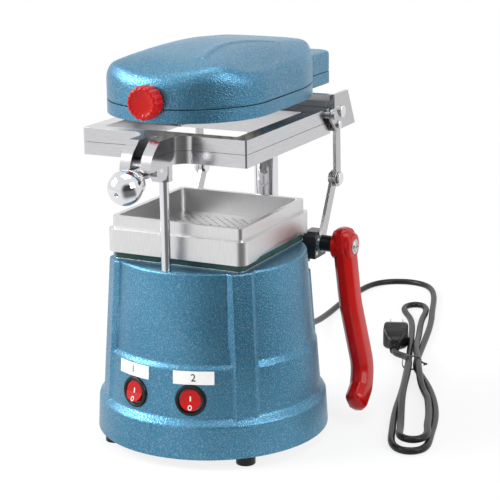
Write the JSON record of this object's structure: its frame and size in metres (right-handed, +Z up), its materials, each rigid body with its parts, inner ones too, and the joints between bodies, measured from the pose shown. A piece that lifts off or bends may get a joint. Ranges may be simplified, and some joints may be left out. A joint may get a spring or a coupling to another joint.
{
  "type": "dental vacuum former",
  "caption": "Benchtop vacuum former: a swivelling heater head over a sheet clamp that a side lever lowers onto a perforated vacuum tray on a round cast base.",
  "frame": {"origin": "axis of the round base at the bench surface, under its rubber feet", "axes": "+Z up, -Y to the front with the switches and clamp bolt, +X to the operator's right with the lever"},
  "size_m": [0.2892, 0.6597, 0.348],
  "materials": {
    "hammer_blue": "hammer-tone enamel",
    "polished_frame": "polished, nickel sheen",
    "satin_tray": "satin, polished band",
    "chrome": "bright chrome",
    "bright_steel": "brushed zinc plate",
    "screw_steel": "plain plated screws",
    "black_casting": "black paint",
    "red_gloss": "glossy red",
    "black_plastic": "moulded black",
    "black_rubber": "soft black",
    "green_gasket": "dark green sheet rubber",
    "plain_label": "printed film, bare or plain numbers",
    "bronze_bush": "sintered bronze",
    "motor_iron": "laminated iron",
    "motor_can": "drawn sheet",
    "ceramic": "fired ceramic, unglazed",
    "heater_wire": "oxidised resistance wire"
  },
  "bodies": {
    "base": {"base_housing": "hammer_blue", "bottom_cover": "bright_steel", "cover_screws": "screw_steel", "rubber_feet": "black_rubber", "seat_plate": "bright_steel", "tray_gasket": "green_gasket", "vacuum_tray": "satin_tray", "perforated_plate": "satin_tray", "plate_screws": "screw_steel", "rear_bridge": "black_casting", "bridge_screws": "screw_steel", "column": "chrome", "bearing_blocks": "black_casting", "bearing_bushes": "bronze_bush", "rod_bush": "bronze_bush", "switch_bodies": "black_plastic", "switch_labels": "plain_label", "motor_standoffs": "bright_steel", "inlet_seal": "black_rubber", "fan_shroud": "motor_can", "motor_housing": "motor_can", "motor_stator": "motor_iron", "cord_gland": "black_plastic", "power_cord": "black_rubber", "cord_hank": "black_rubber", "cord_tie": "black_plastic", "plug": "black_plastic"},
    "fan": {"motor_armature": "motor_iron", "impeller": "satin_tray"},
    "left_rocker": {"rocker_left": "red_gloss"},
    "right_rocker": {"rocker_right": "red_gloss"},
    "carriage": {"lower_frame": "polished_frame", "lift_bracket": "bright_steel", "bracket_screws": "screw_steel", "slide_bush": "bronze_bush", "bracket_pins": "chrome", "guide_rod": "chrome", "bolt_pivot_pin": "chrome"},
    "upper_clamp": {"upper_frame": "polished_frame", "hinge_plates": "bright_steel", "hinge_screws": "screw_steel"},
    "clamp_bolt": {"swing_bolt": "chrome"},
    "knob": {"clamp_knob": "chrome"},
    "lever": {"lever_shaft": "bright_steel", "crank_right": "bright_steel", "crank_left": "bright_steel", "toggle_pins": "chrome", "hub_spacer": "black_plastic", "lever_handle": "red_gloss", "handle_screw": "chrome"},
    "right_link": {"link_right": "bright_steel"},
    "left_link": {"link_left": "bright_steel"},
    "head": {"head_shell": "hammer_blue", "head_ring": "hammer_blue", "shell_screws": "screw_steel", "reflector_pan": "motor_can", "heater_plate": "ceramic", "heater_coil": "heater_wire", "pivot_hub": "bright_steel", "grip_knob": "red_gloss"}
  },
  "joints": [
    {"name": "fan_spin", "type": "hinge", "parent": "base", "child": "fan", "pos_m": [0, 0, 0.1], "axis": [0, 0, 1], "continuous": true},
    {"name": "rocker_left", "type": "hinge", "parent": "base", "child": "left_rocker", "pos_m": [-0.02625, -0.08918, 0.05891], "axis": [0.9593, -0.2823, 0], "range_deg": [0, 22]},
    {"name": "rocker_right", "type": "hinge", "parent": "base", "child": "right_rocker", "pos_m": [0.02625, -0.08918, 0.05891], "axis": [0.9593, 0.2823, 0], "range_deg": [0, 22]},
    {"name": "frame_lift", "type": "slide", "parent": "base", "child": "carriage", "axis": [0, 0, 1], "range_m": [-0.06545, 0]},
    {"name": "lever_turn", "type": "hinge", "parent": "base", "child": "lever", "pos_m": [0, 0.076, 0.1595], "axis": [1, 0, 0], "range_deg": [-63.8, 0.3]},
    {"name": "link_right_turn", "type": "hinge", "parent": "lever", "child": "right_link", "pos_m": [0.0742, 0.1045, 0.213], "axis": [1, 0, 0], "range_deg": [-0.5, 95.9]},
    {"name": "link_left_turn", "type": "hinge", "parent": "lever", "child": "left_link", "pos_m": [-0.0642, 0.1045, 0.213], "axis": [1, 0, 0], "range_deg": [-0.5, 95.9]},
    {"name": "upper_frame_tilt", "type": "hinge", "parent": "carriage", "child": "upper_clamp", "pos_m": [0, 0.091, 0.2645], "axis": [-1, 0, 0], "range_deg": [0, 3]},
    {"name": "clamp_swing", "type": "hinge", "parent": "carriage", "child": "clamp_bolt", "pos_m": [0, -0.101, 0.255], "axis": [1, 0, 0], "range_deg": [-61, 0]},
    {"name": "clamp_knob_spin", "type": "hinge", "parent": "clamp_bolt", "child": "knob", "pos_m": [0, -0.13045, 0.24928], "axis": [0, -0.9816, -0.1908], "continuous": true},
    {"name": "head_swivel", "type": "hinge", "parent": "base", "child": "head", "pos_m": [0, 0.112, 0.3], "axis": [0, 0, 1], "range_deg": [-90, 90]}
  ],
  "couplings": [
    {"joint": "lever_turn", "follows": "frame_lift", "rad_per_m": 16.933},
    {"joint": "link_right_turn", "follows": "frame_lift", "rad_per_m": -25.441},
    {"joint": "link_left_turn", "follows": "frame_lift", "rad_per_m": -25.441}
  ]
}
